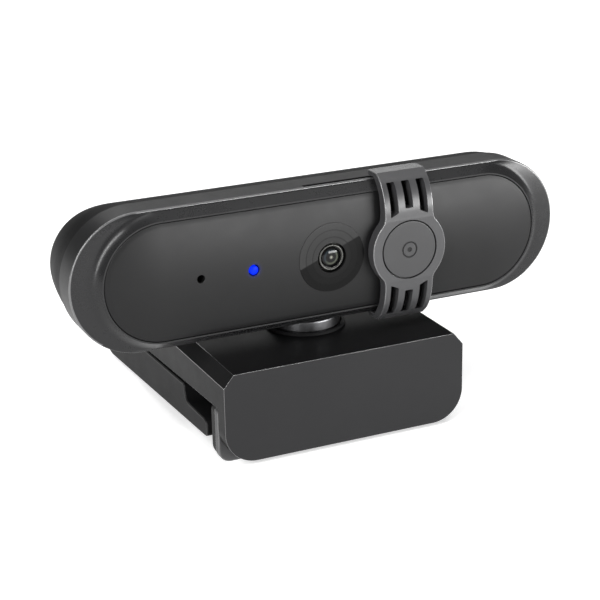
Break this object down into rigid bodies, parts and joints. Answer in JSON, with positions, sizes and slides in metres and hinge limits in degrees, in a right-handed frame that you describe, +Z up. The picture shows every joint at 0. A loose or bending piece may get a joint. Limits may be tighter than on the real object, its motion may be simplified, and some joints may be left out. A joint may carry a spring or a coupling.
{
  "type": "webcam",
  "caption": "Pill-shaped monitor-top webcam with a sliding privacy cover, a tilting and swivelling neck, and a screen clip whose hinged leg folds flat under its top plate.",
  "frame": {"origin": "on the surface that the webcam stands on, under the middle of its bounding box", "axes": "+X to the right of someone facing the lens, -Y the way the lens looks, +Z up"},
  "size_m": [0.12, 0.0837, 0.0606],
  "materials": {
    "case_plastic": "fine satin moulded ABS, charcoal grey",
    "panel_plastic": "smooth satin ABS, charcoal grey, slightly glossier than the case",
    "clip_plastic": "fine satin moulded ABS, dark grey",
    "cover_plastic": "satin mid-grey ABS",
    "window_gloss": "high-gloss black acrylic",
    "lens_glass": "coated optical glass",
    "cast_silver": "turned and bead-blasted die casting",
    "steel": "zinc-plated steel",
    "brass": "machined brass",
    "rubber": "matte black rubber",
    "circuit_board": "green solder mask",
    "chip_epoxy": "black epoxy and black anodised lens parts",
    "socket_nylon": "natural nylon",
    "light_pipe": "clear light pipe, lit blue"
  },
  "bodies": {
    "clip": {"clip_body": "clip_plastic", "underside_cover": "clip_plastic", "lip_plate": "clip_plastic", "lip_pad": "rubber", "swivel_collar": "clip_plastic", "wave_washer": "steel", "hinge_washer_left": "steel", "hinge_washer_right": "steel", "cover_screw_front_left": "steel", "cover_screw_front_right": "steel", "cover_screw_rear_left": "steel", "cover_screw_rear_right": "steel"},
    "leg": {"clip_leg": "clip_plastic", "leg_cover": "clip_plastic", "leg_pad": "rubber", "tripod_insert": "brass", "rubber_foot_left": "rubber", "rubber_foot_right": "rubber", "hinge_pin": "steel"},
    "neck": {"swivel_neck": "cast_silver", "swivel_screw": "steel", "swivel_washer": "steel"},
    "privacy_cover": {"cover_strap": "cover_plastic", "cover_disc": "cover_plastic"},
    "head": {"front_shell": "case_plastic", "rear_shell": "case_plastic", "front_panel": "panel_plastic", "lens_window": "window_gloss", "lens_front_glass": "lens_glass", "lens_rear_glass": "lens_glass", "lens_trim_ring": "cast_silver", "tilt_washer_left": "cast_silver", "tilt_washer_right": "cast_silver", "lens_barrel": "chip_epoxy", "lens_holder": "chip_epoxy", "image_sensor": "chip_epoxy", "image_processor": "chip_epoxy", "main_board": "circuit_board", "cable_socket": "socket_nylon", "led_chip": "socket_nylon", "led_light_pipe": "light_pipe", "mic_boot": "rubber", "cable_gland": "rubber", "microphone": "steel", "tilt_bracket": "steel", "tilt_pin": "steel", "tilt_nut": "steel", "case_screw_left": "steel", "case_screw_right": "steel", "board_screw_left": "steel", "board_screw_right": "steel", "bracket_screw_left": "steel", "bracket_screw_right": "steel"}
  },
  "joints": [
    {"name": "leg_fold", "type": "hinge", "parent": "clip", "child": "leg", "pos_m": [0, 0.03425, 0.0086], "axis": [1, 0, 0], "range_deg": [0, 120]},
    {"name": "neck_swivel", "type": "hinge", "parent": "clip", "child": "neck", "pos_m": [0, -0.01945, 0.0225], "axis": [0, 0, 1], "continuous": true},
    {"name": "head_tilt", "type": "hinge", "parent": "neck", "child": "head", "pos_m": [0, -0.01945, 0.0306], "axis": [1, 0, 0], "range_deg": [-25, 8]},
    {"name": "cover_slide", "type": "slide", "parent": "head", "child": "privacy_cover", "axis": [1, 0, 0], "range_m": [-0.0181, 0]}
  ]
}
